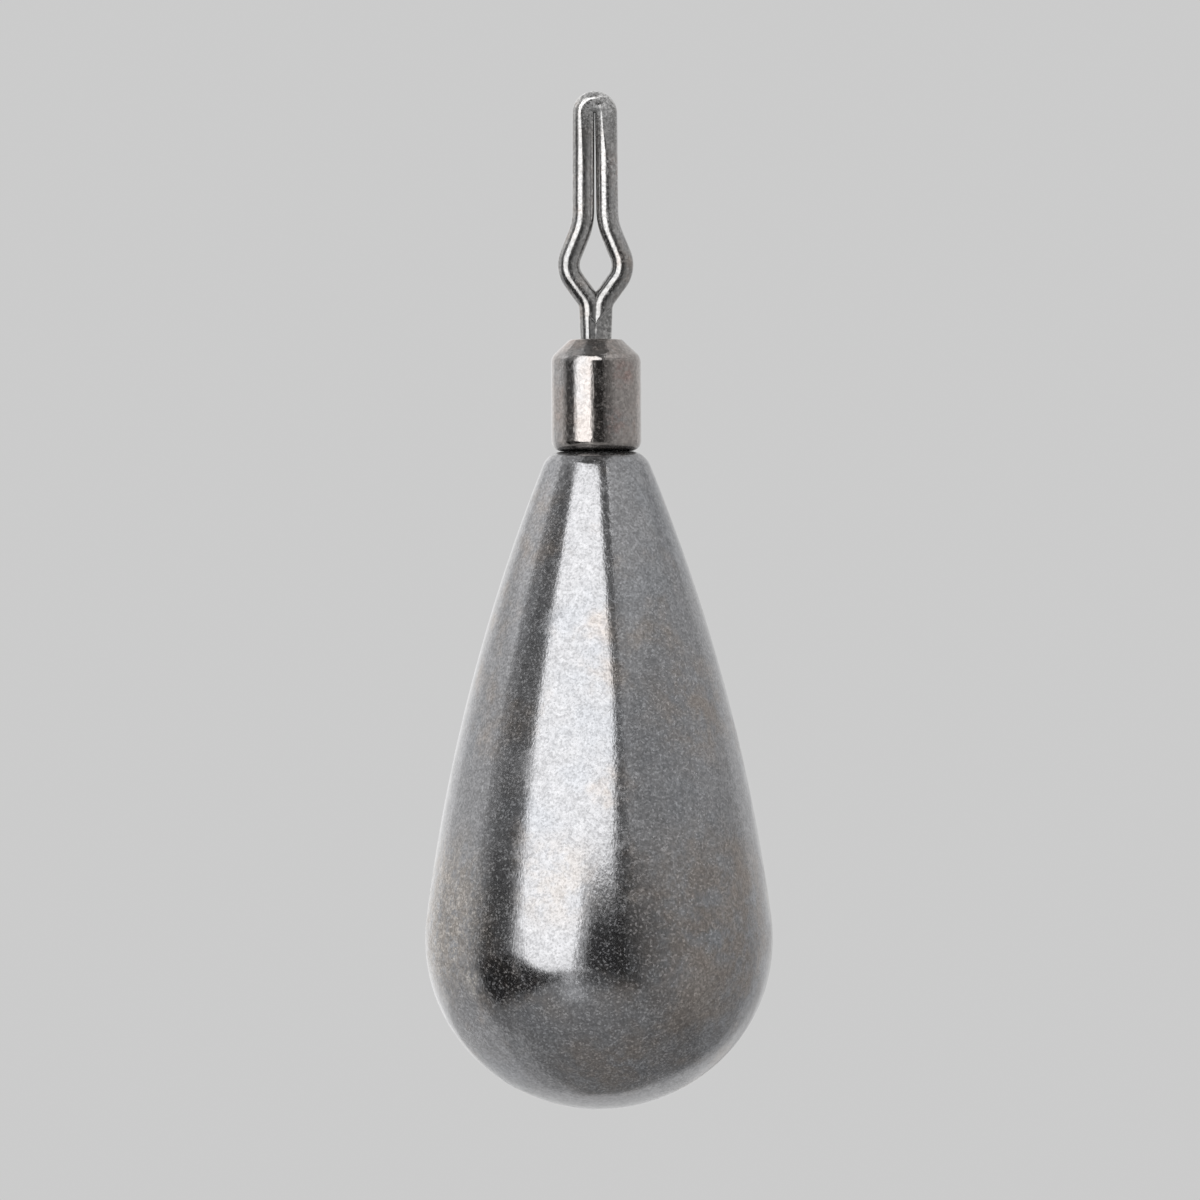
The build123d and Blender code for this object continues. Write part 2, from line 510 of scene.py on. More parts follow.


# Painted shade, in fine and coarse blots, in the seam where the weight turns under the barrel
SEAM = (0, 0, -5.165)  # millimetres
SEAM_PAINTED_SHADE = tuple(
    StainAndPaintedLight(SEAM, 3.0, (0.10, 0.098, 0.096), 0.9, 0.15, blot_size, flatness=12)
    for blot_size in (0.07, 0.12)
)
SINTERED = MetalFinish(
    name="sintered_tungsten",
    clean=(0.308, 0.308, 0.316),
    warm=(0.33, 0.302, 0.283),
    cool=(0.291, 0.296, 0.309),
    roughness=0.135,
    patch_size=2.4 * MM,
    mottle=0.10,
    dulling=0.10,
    grain_size=0.055 * MM,
    grain_depth=0.0018 * MM,
    grain_contrast=0.25,
    grain_streaking=0.25,
    haze=0.02,
    dust=0.25,
    wave_size=0.5 * MM,
    wave_depth=0.0008 * MM,
    scuff_size=2.2 * MM,
    scuff_width=0.006,
    stains_and_painted_light=(
        # Tarnish with pale and dark veins, low on the left flank
        StainAndPaintedLight((-4.5, -2.0, -18.0), 3.0, (0.335, 0.305, 0.278), 0.9, 0.10, 0.50),
        StainAndPaintedLight((-4.5, -2.0, -18.4), 2.9, (0.50, 0.465, 0.43), 0.9, 0.12, 0.45, 1.0),
        StainAndPaintedLight((-4.5, -2.0, -18.8), 2.6, (0.20, 0.182, 0.168), 0.75, 0.05, 0.33, 1.0),
        StainAndPaintedLight((-3.6, -3.3, -20.1), 0.6, (0.56, 0.53, 0.49), 1.0, 0.12, 0.40, 0.7),
        # Warm and cool tarnish on the belly, the nose and the right flank
        StainAndPaintedLight((3.4, -3.4, -18.6), 4.2, (0.285, 0.252, 0.228), 0.8, 0.05, 0.70),
        StainAndPaintedLight((0.2, -3.2, -22.3), 2.0, (0.315, 0.283, 0.26), 0.7, 0.05, 0.50),
        StainAndPaintedLight((-0.6, -4.2, -21.0), 1.8, (0.275, 0.285, 0.305), 0.7, 0.03, 0.60),
        StainAndPaintedLight((2.6, -2.4, -12.6), 2.2, (0.335, 0.30, 0.275), 0.7, 0.04, 0.60),
        StainAndPaintedLight((-1.2, -4.5, -17.2), 1.8, (0.33, 0.305, 0.285), 0.6, 0.02, 0.60),
        # Painted shade in the seam under the barrel
        *SEAM_PAINTED_SHADE,
    ),
)
PLATED = MetalFinish(
    name="nickel_plate",
    clean=(0.37, 0.342, 0.326),
    warm=(0.38, 0.327, 0.301),
    cool=(0.35, 0.341, 0.339),
    roughness=0.12,
    patch_size=1.3 * MM,
    mottle=0.05,
    dulling=0.08,
    grain_size=0.07 * MM,
    grain_depth=0.0030 * MM,
    grain_contrast=0.2,
    grain_streaking=0.1,
    haze=0.0,
    dust=0.12,
    wave_size=0.2 * MM,
    wave_depth=0.002 * MM,
    scuff_size=1.2 * MM,
    scuff_width=0.006,
    stains_and_painted_light=(
        # Brassy places where the plating is thin, and painted shade round the upper hole
        StainAndPaintedLight((0.8, -0.99, -3.0), 0.55, (0.38, 0.28, 0.26), 0.8, 0.08, 0.20),
        StainAndPaintedLight((0.5, -1.15, -4.4), 0.60, (0.37, 0.29, 0.27), 0.7, 0.08, 0.20),
        StainAndPaintedLight((0.0, -0.6, -2.1), 0.55, (0.22, 0.21, 0.205), 0.8, 0.15, 0.12),
        # Painted shade in the seam at the barrel's foot
        *SEAM_PAINTED_SHADE,
    ),
)
SPRING_WIRE = MetalFinish(
    name="spring_wire",
    clean=(0.34, 0.335, 0.33),
    warm=(0.345, 0.315, 0.295),
    cool=(0.32, 0.32, 0.322),
    roughness=0.16,
    patch_size=0.8 * MM,
    mottle=0.08,
    dulling=0.08,
    grain_size=0.06 * MM,
    grain_depth=0.0022 * MM,
    grain_contrast=0.24,
    grain_streaking=0.3,
    haze=0.02,
    dust=0.16,
    wave_size=0.2 * MM,
    wave_depth=0.002 * MM,
    scuff_size=0.8 * MM,
    scuff_width=0.008,
    stains_and_painted_light=(
        # Dull coined flat, warm tarnish, and wear above the barrel and down the right leg
        StainAndPaintedLight((0.15, -0.25, 4.25), 1.0, (0.36, 0.36, 0.36), 0.6, 0.16, 0.10),
        StainAndPaintedLight((0.55, -0.2, 2.9), 0.7, (0.36, 0.31, 0.29), 0.7, 0.06, 0.20),
        StainAndPaintedLight((0.28, -0.2, -1.75), 0.6, (0.58, 0.57, 0.56), 1.0, 0.08, 0.15),
        StainAndPaintedLight((0.50, -0.25, 2.3), 2.4, (0.50, 0.49, 0.485), 0.9, 0.04, 0.07),
        # Painted highlight round the top bend, and a dull dark blot under it
        StainAndPaintedLight((0.0, -0.15, 4.95), 1.0, (0.74, 0.735, 0.73), 0.9, 0.05, 0.12),
        StainAndPaintedLight((0.05, -0.15, 4.9), 0.9, (0.70, 0.695, 0.69), 0.9, 0.05, 0.07),
        StainAndPaintedLight((0.02, -0.28, 4.50), 0.5, (0.26, 0.26, 0.26), 0.9, 0.30, 0.10),
    ),
)


@dataclass(frozen=True)
class GlueFinish:
    """Cured epoxy: amber grey, cloudy with fine bubbles.

    Args:
        name: the material's name.
        clear: linear colour of its clear parts.
        cloudy: linear colour of its clouds.
        cloud_size: size of the clouds, in metres.
        bubble_size: size of the bubbles, in metres.
        bubble_depth: depth of their relief, in metres.
        roughness: roughness of the clear parts and of the clouds.
    """

    name: str = "cured_epoxy"
    clear: Colour = (0.46, 0.39, 0.28)
    cloudy: Colour = (0.56, 0.51, 0.42)
    cloud_size: float = 0.5 * MM
    bubble_size: float = 0.12 * MM
    bubble_depth: float = 0.01 * MM
    roughness: tuple[float, float] = (0.22, 0.4)

    def material(self) -> bpy.types.Material:
        """Builds the material.

        Returns:
            The finished material.
        """
        made = bpy.data.materials.new(self.name)
        made.use_nodes = True
        sketch = NodeSketch(made.node_tree)
        place = sketch.add("ShaderNodeTexCoord").outputs["Object"]
        clouds = sketch.noise(place, 1 / self.cloud_size, detail=4.0)
        mask = sketch.ramp(clouds, low=0.4, high=0.65)
        bubbles = sketch.add("ShaderNodeTexVoronoi", {"Vector": place, "Scale": 1 / self.bubble_size})
        bump = sketch.add(
            "ShaderNodeBump",
            {"Height": bubbles.outputs["Distance"], "Distance": self.bubble_depth},
        )
        shader = sketch.add(
            "ShaderNodeBsdfPrincipled",
            {
                "Base Color": sketch.mixed(mask, (*self.clear, 1.0), (*self.cloudy, 1.0)),
                "Roughness": sketch.ramp(mask, 0.0, 1.0, *self.roughness),
                "Normal": bump.outputs[0],
            },
        )
        sketch.add("ShaderNodeOutputMaterial", {"Surface": shader.outputs[0]})
        return made


@dataclass(frozen=True)
class Corner:
    """Point where an outline or a wire turns, in metres.

    Args:
        x: its place across.
        z: its height.
        radius: the radius that rounds it, where 0 leaves it sharp.
    """

    x: float
    z: float
    radius: float = 0.0


class Pen:
    """Draws a line in the XZ plane by extruding its tip along straight runs and bends.

    The tip is one vertex for an outline, or a ring of edges for a wire. Headings and turns are in
    radians, anticlockwise as seen from the front, with 0 along +X.
    """

    STEP_TURN = math.radians(5)
    FROM_THE_FRONT = Vector((0, -1, 0))

    def __init__(
        self, mesh: BMesh, tip: list[BMVert | BMEdge], place: Vector, heading: float, step: float
    ) -> None:
        """Takes up a tip that is already in the mesh.

        Args:
            mesh: the mesh that is drawn in.
            tip: the vertices and edges that are extruded.
            place: where the tip is.
            heading: where it points.
            step: the longest extrusion, in metres.
        """
        self.mesh = mesh
        self.tip = tip
        self.place = place
        self.heading = heading
        self.step = step

    @classmethod
    def outline(cls, mesh: BMesh, start: Corner, step: float) -> "Pen":
        """Pen for an outline, which starts along +X."""
        place = Vector((start.x, 0, start.z))
        return cls(mesh, [mesh.verts.new(place)], place, 0.0, step)

    @classmethod
    def wire(cls, mesh: BMesh, start: Corner, step: float, radius: float, segments: int) -> "Pen":
        """Pen for a round wire in an empty mesh, which starts along +X.

        Args:
            mesh: the empty mesh.
            start: where the wire's middle starts.
            step: the longest extrusion, in metres.
            radius: the wire's radius, in metres.
            segments: edges round the wire.

        Returns:
            The pen, with the wire's first ring as its tip.
        """
        place = Vector((start.x, 0, start.z))
        facing_x = Matrix.Translation(place) @ Matrix.Rotation(math.pi / 2, 4, "Y")
        bmesh.ops.create_circle(mesh, segments=segments, radius=radius, matrix=facing_x)
        return cls(mesh, mesh.verts[:] + mesh.edges[:], place, 0.0, step)

    def _extrude(self, steps: int, angle: float, centre: Vector, shift: Vector) -> None:
        """Extrudes the tip in equal steps of a turn and a shift.

        Args:
            steps: how many extrusions.
            angle: the turn of all steps together.
            centre: what the tip turns about.
            shift: how far each step goes.
        """
        drawn = bmesh.ops.spin(
            self.mesh,
            geom=self.tip,
            cent=centre,
            axis=self.FROM_THE_FRONT,
            angle=angle,
            dvec=shift,
            steps=steps,
        )
        self.tip = drawn["geom_last"]

    def straight(self, length: float) -> None:
        """Goes straight on.

        Args:
            length: how far, in metres.
        """
        steps = max(1, math.ceil(length / self.step))
        way = Vector((math.cos(self.heading), 0, math.sin(self.heading))) * length
        self._extrude(steps, 0.0, self.place, way / steps)
        self.place = self.place + way

    def bend(self, radius: float, turn: float) -> None:
        """Goes round an arc.

        Args:
            radius: the arc's radius, in metres.
            turn: how far round, to the left if it is above 0.
        """
        steps = max(math.ceil(abs(turn) / self.STEP_TURN), math.ceil(abs(turn) * radius / self.step))
        left = Vector((-math.sin(self.heading), 0, math.cos(self.heading)))
        centre = self.place + left * math.copysign(radius, turn)
        self._extrude(steps, turn, centre, Vector())
        self.place = centre + Matrix.Rotation(turn, 3, self.FROM_THE_FRONT) @ (self.place - centre)
        self.heading += turn

    def follow(self, *corners: Corner) -> None:
        """Goes from corner to corner and rounds each one, but for the last, by its radius.

        Args:
            *corners: the corners, in order.
        """
        for corner, after in zip(corners, corners[1:] + corners[-1:]):
            run = Vector((corner.x, 0, corner.z)) - self.place
            self.heading = math.atan2(run.z, run.x)
            onward = math.atan2(after.z - corner.z, after.x - corner.x)
            if corner.radius and after is not corner:
                turn = math.remainder(onward - self.heading, math.tau)
                self.straight(run.length - corner.radius * math.tan(abs(turn) / 2))
                self.bend(corner.radius, turn)
            else:
                self.straight(run.length)


def ease(value: float, low: float, high: float) -> float:
    """A smooth step from 0 to 1 as a value goes from low to high."""
    share = min(1.0, max(0.0, (value - low) / (high - low)))
    return share * share * (3 - 2 * share)


def everything(mesh: BMesh) -> list[BMVert | BMEdge | BMFace]:
    """All vertices, edges and faces of a mesh."""
    return mesh.verts[:] + mesh.edges[:] + mesh.faces[:]


def revolve(mesh: BMesh, segments: int) -> None:
    """Spins an outline in the XZ plane about the swivel axis and closes its seam and poles.

    Args:
        mesh: the mesh that holds nothing but the outline.
        segments: faces round the axis.
    """
    bmesh.ops.spin(
        mesh,
        geom=everything(mesh),
        cent=(0, 0, 0),
        axis=(0, 0, 1),
        angle=math.tau,
        steps=segments,
        use_merge=True,
    )
    bmesh.ops.remove_doubles(mesh, verts=mesh.verts[:], dist=WELD)


def append(mesh: BMesh, other: BMesh) -> None:
    """Moves another mesh into this one as a shell of its own.

    Args:
        mesh: the mesh that gets the shell.
        other: the mesh that is used up.
    """
    carrier = bpy.data.meshes.new("carrier")
    other.to_mesh(carrier)
    other.free()
    mesh.from_mesh(carrier)
    bpy.data.meshes.remove(carrier)


@dataclass(frozen=True)
class SwivelFit:
    """Sizes by which the wire's round journals fit the barrel's holes."""

    wire_radius: float = 0.315 * MM
    running_clearance: float = 0.05 * MM

    @property
    def journal_radius(self) -> float:
        """Radius of two wires pressed into one round, which keep their section area."""
        return self.wire_radius * math.sqrt(2)

    @property
    def hole_radius(self) -> float:
        """Radius of the barrel's holes."""
        return self.journal_radius + self.running_clearance


FIT = SwivelFit()


class Piece(ABC):
    """A piece of the sinker that is modelled here and stands for a CAD node."""

    NAME: ClassVar[str]
    NODE: ClassVar[str]
    BODY: ClassVar[Body]
    SLOT: ClassVar[Slot]
    FINISH: ClassVar[MetalFinish]
    SHARP_ANGLE: ClassVar[float] = math.radians(50)

    @abstractmethod
    def shape(self, mesh: BMesh) -> None:
        """Models the piece.

        Args:
            mesh: the empty mesh to model it in.
        """

    def build(self, effects: SurfaceEffects) -> None:
        """Models and dresses the piece and sets it on its body.

        Args:
            effects: the shared node groups.
        """
        mesh = bmesh.new()
        self.shape(mesh)
        bmesh.ops.recalc_face_normals(mesh, faces=mesh.faces[:])
        data = bpy.data.meshes.new(self.NAME)
        mesh.to_mesh(data)
        mesh.free()
        data.shade_smooth()
        data.set_sharp_from_angle(angle=self.SHARP_ANGLE)
        data.materials.append(self.FINISH.material(effects))
        made = bpy.data.objects.new(self.NAME, data)
        bpy.context.scene.collection.objects.link(made)
        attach(made, self.BODY.value)
        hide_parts(self.NODE)
        log.info("%s: %d faces, for node %s", made.name, len(data.polygons), self.NODE)


@dataclass
class TeardropWeight(Piece):
    """The weight: nose, belly, flank and shoulder are tangent arcs, spun, and the top is bored."""

    NAME: ClassVar[str] = "teardrop_weight"
    NODE: ClassVar[str] = "sinker_body"
    BODY: ClassVar[Body] = Body.SINKER
    SLOT: ClassVar[Slot] = Slot.WEIGHT
    FINISH: ClassVar[MetalFinish] = SINTERED

    belly_inset: float = 0.19 * MM
    nose_lift: float = 0.17 * MM
    flank_radius: float = 52.0 * MM
    top_round: float = 0.61 * MM
    top_land: float = 0.11 * MM
    bore_filler: str = "bond_plug"
    bore_mouth_chamfer: float = 0.05 * MM
    drill_point_angle: float = math.radians(118)
    step: float = 0.25 * MM
    segments: int = 160

    def shape(self, mesh: BMesh) -> None:
        """Draws half of the outline, from the nose up and down into the bore, and spins it.

        Args:
            mesh: the empty mesh to model it in.
        """
        low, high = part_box(self.NODE)
        plug_low, plug_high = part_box(self.bore_filler)
        bore_radius = (plug_high.x - plug_low.x) / 2
        belly_radius = (high.x - low.x) / 2 - self.belly_inset
        nose_radius = belly_radius + math.hypot(self.belly_inset, self.nose_lift)
        belly = Vector((self.belly_inset, low.z + nose_radius - self.nose_lift))
        shoulder = Vector((bore_radius + self.top_land, high.z - self.top_round))

        # The flank's arc holds the belly's and the shoulder's, so its centre closes a triangle
        # with theirs in which all three sides are known.
        across = shoulder - belly
        to_belly = self.flank_radius - belly_radius
        to_shoulder = self.flank_radius - self.top_round
        opening = math.acos(
            (across.length_squared + to_belly**2 - to_shoulder**2) / (2 * across.length * to_belly)
        )
        bearing = math.atan2(across.y, across.x) + opening
        flank = belly + to_belly * Vector((math.cos(bearing), math.sin(bearing)))

        # Directions in which each arc meets the next
        nose_end = math.atan2(-self.nose_lift, self.belly_inset)
        belly_end = math.atan2(belly.y - flank.y, belly.x - flank.x)
        flank_end = math.atan2(shoulder.y - flank.y, shoulder.x - flank.x)
        pen = Pen.outline(mesh, Corner(0, low.z), self.step)
        pen.bend(nose_radius, nose_end + math.pi / 2)
        pen.bend(belly_radius, belly_end - nose_end)
        pen.bend(self.flank_radius, flank_end - belly_end)
        pen.bend(self.top_round, math.pi / 2 - flank_end)

        drill_point = bore_radius / math.tan(self.drill_point_angle / 2)
        pen.follow(
            Corner(bore_radius + self.bore_mouth_chamfer, high.z),
            Corner(bore_radius, high.z - self.bore_mouth_chamfer),
            Corner(bore_radius, plug_low.z + drill_point),
            Corner(0, plug_low.z),
        )
        revolve(mesh, self.segments)


@dataclass
class SwivelBarrel(Piece):
    """The barrel: a drawn cup with a hole in its floor, its rim swaged in to a second hole."""

    NAME: ClassVar[str] = "barrel_shell"
    NODE: ClassVar[str] = "swivel_barrel"
    BODY: ClassVar[Body] = Body.BARREL
    SLOT: ClassVar[Slot] = Slot.BARREL
    FINISH: ClassVar[MetalFinish] = PLATED

    wall: float = 0.36 * MM
    shoulder_height: float = 0.50 * MM
    shoulder_flat_radius: float = 0.74 * MM
    shoulder_top_round: float = 0.14 * MM
    shoulder_side_round: float = 0.36 * MM
    base_round: float = 0.30 * MM
    cup_corner_round: float = 0.12 * MM
    hole_edge_round: float = 0.03 * MM
    step: float = 0.15 * MM
    segments: int = 128

    def shape(self, mesh: BMesh) -> None:
        """Draws the wall's section, outside and then inside, and spins it.

        Args:
            mesh: the empty mesh to model it in.
        """
        low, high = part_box(self.NODE)
        radius = (high.x - low.x) / 2
        cup_radius = radius - self.wall
        floor = low.z + self.wall
        middle_of_rim = (FIT.hole_radius + self.shoulder_flat_radius) / 2
        pen = Pen.outline(mesh, Corner(middle_of_rim, high.z), self.step)
        pen.follow(
            Corner(self.shoulder_flat_radius, high.z, self.shoulder_top_round),
            Corner(radius, high.z - self.shoulder_height, self.shoulder_side_round),
            Corner(radius, low.z, self.base_round),
            Corner(FIT.hole_radius, low.z, self.hole_edge_round),
            Corner(FIT.hole_radius, floor, self.hole_edge_round),
            Corner(cup_radius, floor, self.cup_corner_round),
            Corner(cup_radius, self._under_shoulder(cup_radius), self.cup_corner_round),
            Corner(FIT.hole_radius, self._under_shoulder(FIT.hole_radius)),
            Corner(FIT.hole_radius, high.z, self.hole_edge_round),
            Corner(middle_of_rim, high.z),
        )
        revolve(mesh, self.segments)

    @property
    def shoulder_slope(self) -> float:
        """How steeply the swaged shoulder falls away from the axis."""
        low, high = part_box(self.NODE)
        return self.shoulder_height / ((high.x - low.x) / 2 - self.shoulder_flat_radius)

    def _under_shoulder(self, radius: float) -> float:
        """Height of the cone inside the swaged shoulder.

        Args:
            radius: distance from the axis, in metres.

        Returns:
            The height there, in metres.
        """
        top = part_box(self.NODE)[1].z
        wall_along_z = self.wall * math.hypot(1, self.shoulder_slope)
        return top - (radius - self.shoulder_flat_radius) * self.shoulder_slope - wall_along_z


@dataclass(frozen=True)
class PressMark:
    """Flat that a tool pressed into the front of one leg, and its twin behind the other leg.

    Args:
        side: 1 for the right leg, -1 for the left one.
        turn: how far the flat looks to the right of straight ahead, in radians.
        depth: how deep it goes into the round wire, in metres.
    """

    side: int
    turn: float
    depth: float


@dataclass
class LineClip(Piece):
    """The clip: one wire, bent into a pinch slot and an eye, with its ends upset to a head."""

    NAME: ClassVar[str] = "clip_wire_form"
    NODE: ClassVar[str] = "line_clip"
    BODY: ClassVar[Body] = Body.CLIP
    SLOT: ClassVar[Slot] = Slot.WIRE
    FINISH: ClassVar[MetalFinish] = SPRING_WIRE

    slot_gap_top: float = 0.01 * MM
    slot_gap_mouth: float = 0.05 * MM
    slot_mouth_height: float = 1.27 * MM
    slot_mouth_bend: float = 1.80 * MM
    eye_half_spread: float = 0.86 * MM
    eye_bend: float = 0.75 * MM
    throat_depth: float = 0.95 * MM
    throat_half_width: float = 0.48 * MM
    throat_bend: float = 0.60 * MM

    # Round journal and head that the wire's ends become inside the barrel
    barrel: SwivelBarrel = field(default_factory=SwivelBarrel)
    journal_start: float = 0.10 * MM
    leg_embed: float = 0.30 * MM
    head_rim: float = 0.34 * MM
    head_crown: float = 0.16 * MM
    head_edge_round: float = 0.10 * MM

    # Coined flat, which goes round the top bend and runs out down both legs
    coined_length: float = 1.30 * MM
    coined_left: PressMark = PressMark(side=-1, turn=math.radians(12), depth=0.030 * MM)
    coined_right: PressMark = PressMark(side=1, turn=math.radians(20), depth=0.085 * MM)
    coined_change: float = math.radians(60)

    # Flats on the neck, under creases that slope down to the middle
    crease_x: float = 0.28 * MM
    crease_height: float = -1.21 * MM
    crease_slope: float = math.radians(45)
    crease_width: float = 0.05 * MM
    neck_marks: tuple[PressMark, ...] = (
        PressMark(side=-1, turn=math.radians(18), depth=0.028 * MM),
        PressMark(side=1, turn=math.radians(21), depth=0.100 * MM),
    )

    press_softness: float = 0.012 * MM
    step: float = 0.06 * MM
    neck_start: float = -1.15 * MM
    neck_step: float = 0.02 * MM
    segments: int = 80

    def shape(self, mesh: BMesh) -> None:
        """Bends one leg, mirrors it, presses its flats and adds the head.

        Args:
            mesh: the empty mesh to model it in.
        """
        self._bend_leg(mesh)
        middle = {"plane_co": (0, 0, 0), "plane_no": (1, 0, 0)}
        bmesh.ops.bisect_plane(mesh, geom=everything(mesh), dist=WELD, clear_inner=True, **middle)
        bmesh.ops.mirror(mesh, geom=everything(mesh), axis="X", merge_dist=WELD)
        ends = [edge for edge in mesh.edges if edge.is_boundary]
        bmesh.ops.holes_fill(mesh, edges=ends, sides=0)

        # The flats behind are those in front, turned half round.
        for half_turn in (0.0, math.pi):
            bmesh.ops.rotate(mesh, matrix=Matrix.Rotation(half_turn, 3, "Z"), verts=mesh.verts[:])
            self._coin(mesh)
            for mark in self.neck_marks:
                self._press_neck(mesh, mark)
        append(mesh, self._head())

    def _neck_x(self, height: float) -> float:
        """Distance of a leg's middle from the axis, between the throat and the barrel.

        Args:
            height: the height to look at, in metres.

        Returns:
            The distance there, in metres.
        """
        throat = self.throat_half_width - FIT.wire_radius
        barrel_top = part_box(self.barrel.NODE)[1].z
        pressed = FIT.journal_radius - FIT.wire_radius
        share = (-self.throat_depth - height) / (-self.throat_depth - barrel_top)
        return throat + (pressed - throat) * share

    @property
    def _top_x(self) -> float:
        """Distance of a leg's middle from the axis at the top bend, which is the bend's radius too."""
        return self.slot_gap_top / 2 + FIT.wire_radius

    @property
    def _wire_top(self) -> float:
        """Height of the wire's middle at the top of the bend."""
        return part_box(self.NODE)[1].z - FIT.wire_radius

    def _bend_leg(self, mesh: BMesh) -> None:
        """Draws the right half of the wire, from the middle of the top bend down into the barrel.

        Args:
            mesh: the empty mesh to draw it in.
        """
        mouth_x = self.slot_gap_mouth / 2 + FIT.wire_radius
        leg_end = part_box(self.barrel.NODE)[1].z - self.leg_embed

        # The legs lean towards each other, so the slot narrows upwards.
        lean = math.atan2(mouth_x - self._top_x, self._wire_top - self._top_x - self.slot_mouth_height)
        pen = Pen.wire(mesh, Corner(0, self._wire_top), self.step, FIT.wire_radius, self.segments)
        pen.bend(self._top_x / math.cos(lean), lean - math.pi / 2)
        pen.follow(
            Corner(mouth_x, self.slot_mouth_height, self.slot_mouth_bend),
            Corner(self.eye_half_spread, 0, self.eye_bend),
            Corner(self._neck_x(-self.throat_depth), -self.throat_depth, self.throat_bend),
            Corner(self._neck_x(self.neck_start), self.neck_start),
        )

        # The neck gets a finer mesh, for its creases.
        pen.step = self.neck_step
        pen.follow(Corner(self._neck_x(leg_end), leg_end))

    def _coin(self, mesh: BMesh) -> None:
        """Presses the flat round the front of the top bend, which turns from leg to leg.

        Args:
            mesh: the whole wire.
        """
        left, right = self.coined_left, self.coined_right
        centre = Vector((0, 0, self._wire_top - self._top_x))
        for vertex in mesh.verts:
            below = centre.z - vertex.co.z
            if below > self.coined_length:
                continue
            if below > 0:
                outward = Vector((math.copysign(1, vertex.co.x), 0, 0))
                spine = outward * self._top_x + Vector((0, 0, vertex.co.z))
            else:
                outward = Vector((vertex.co.x, 0, -below)).normalized()
                spine = centre + outward * self._top_x
            round_bend = math.atan2(outward.x, outward.z)
            change = ease(round_bend, 0.0, self.coined_change)
            turn = left.turn - (left.turn + right.turn) * change
            fade = 1 - max(0.0, below) / self.coined_length
            depth = (left.depth + (right.depth - left.depth) * change) * fade
            facing = -outward * math.sin(turn) + Vector((0, -math.cos(turn), 0))
            proud = (vertex.co - spine).dot(facing) - (FIT.wire_radius - depth)
            vertex.co -= facing * self._pushed(proud)

    def _press_neck(self, mesh: BMesh, mark: PressMark) -> None:
        """Presses one flat into a leg between the eye and the barrel, up to its crease.

        Args:
            mesh: the whole wire.
            mark: which leg, and how the flat lies.
        """
        crease = Vector((mark.side * self.crease_x, 0, self.crease_height))
        down = Vector((mark.side * math.sin(self.crease_slope), 0, -math.cos(self.crease_slope)))
        leg = Vector((mark.side * self._neck_x(self.crease_height), 0, self.crease_height))
        facing = Vector((math.sin(mark.turn), -math.cos(mark.turn), 0))
        flat = leg + facing * (FIT.wire_radius - mark.depth)
        for vertex in mesh.verts:
            if vertex.co.x * mark.side > -WELD:
                share = ease((vertex.co - crease).dot(down), 0.0, self.crease_width)
                vertex.co -= facing * self._pushed((vertex.co - flat).dot(facing)) * share

    def _pushed(self, proud: float) -> float:
        """How far a press pushes back a point that stands proud of its flat, with a rounded edge.

        Args:
            proud: how far the point stands out, in metres.

        Returns:
            How far it goes back, in metres.
        """
        soft = self.press_softness
        if abs(proud) < soft:
            return (proud + soft) ** 2 / (4 * soft)
        return max(0.0, proud)

    def _head(self) -> BMesh:
        """Round journal and conical head on the wire's ends.

        Returns:
            A mesh of their own.
        """
        mesh = bmesh.new()
        low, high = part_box(self.NODE)
        journal_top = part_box(self.barrel.NODE)[1].z - self.journal_start
        head_radius = (high.y - low.y) / 2
        rim_bottom = low.z + self.head_crown
        rim_top = rim_bottom + self.head_rim
        seat_top = rim_top + (head_radius - FIT.journal_radius) * self.barrel.shoulder_slope
        pen = Pen.outline(mesh, Corner(0, journal_top), self.step)
        pen.follow(
            Corner(FIT.journal_radius, journal_top),
            Corner(FIT.journal_radius, seat_top),
            Corner(head_radius, rim_top, self.head_edge_round),
            Corner(head_radius, rim_bottom, self.head_edge_round),
            Corner(FIT.journal_radius, low.z),
            Corner(0, low.z),
        )
        revolve(mesh, self.segments)
        return mesh


@dataclass
class BuriedAnchor:
    """The headed hairpin and the adhesive inside the weight, which keep their CAD shapes."""

    hairpin: str = "anchor_eye"
    adhesive: str = "bond_plug"
    glue: GlueFinish = field(default_factory=GlueFinish)

    def dress(self, effects: SurfaceEffects) -> None:
        """Gives both pieces their materials.

        Args:
            effects: the shared node groups.
        """
        finishes = {
            self.hairpin: SPRING_WIRE.material(effects),
            self.adhesive: self.glue.material(),
        }
        for node, material in finishes.items():
            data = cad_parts[node].data
            data.materials.clear()
            data.materials.append(material)
            log.info("%s: CAD shape kept, dressed in %s", node, material.name)


def towards(direction: Direction) -> Vector:
    """Unit vector from the sinker in a direction."""
    turn, rise = (math.radians(angle) for angle in direction)
    return Vector((math.sin(turn) * math.cos(rise), -math.cos(turn) * math.cos(rise), math.sin(rise)))


def matte(name: str, shade: float) -> bpy.types.Material:
    """Plain matte grey for what stands round the sinker.

    Args:
        name: the material's name.
        shade: its grey.

    Returns:
        The material.
    """
    made = bpy.data.materials.new(name)
    made.use_nodes = True
    sketch = NodeSketch(made.node_tree)
    shader = sketch.add("ShaderNodeBsdfDiffuse", {"Color": (shade, shade, shade, 1.0)})
    sketch.add("ShaderNodeOutputMaterial", {"Surface": shader.outputs[0]})
    return made


def keep_to_reflections(thing: bpy.types.Object) -> None:
    """Leaves an object to be seen in the metal only: out of the picture, and throwing no shadow.

    Args:
        thing: the object.
    """
    thing.visible_camera = False
    thing.visible_shadow = False
    thing.visible_diffuse = False


def add_stage_mesh(name: str, mesh: BMesh, shade: float) -> bpy.types.Object:
    """Adds a matte object that isn't part of the sinker.

    Args:
        name: the object's name.
        mesh: its shape, which is used up.
        shade: its grey.

    Returns:
        The object.
    """
    data = bpy.data.meshes.new(name)
    mesh.to_mesh(data)
    mesh.free()
    data.materials.append(matte(name, shade))
    made = bpy.data.objects.new(name, data)
    bpy.context.scene.collection.objects.link(made)
    return made


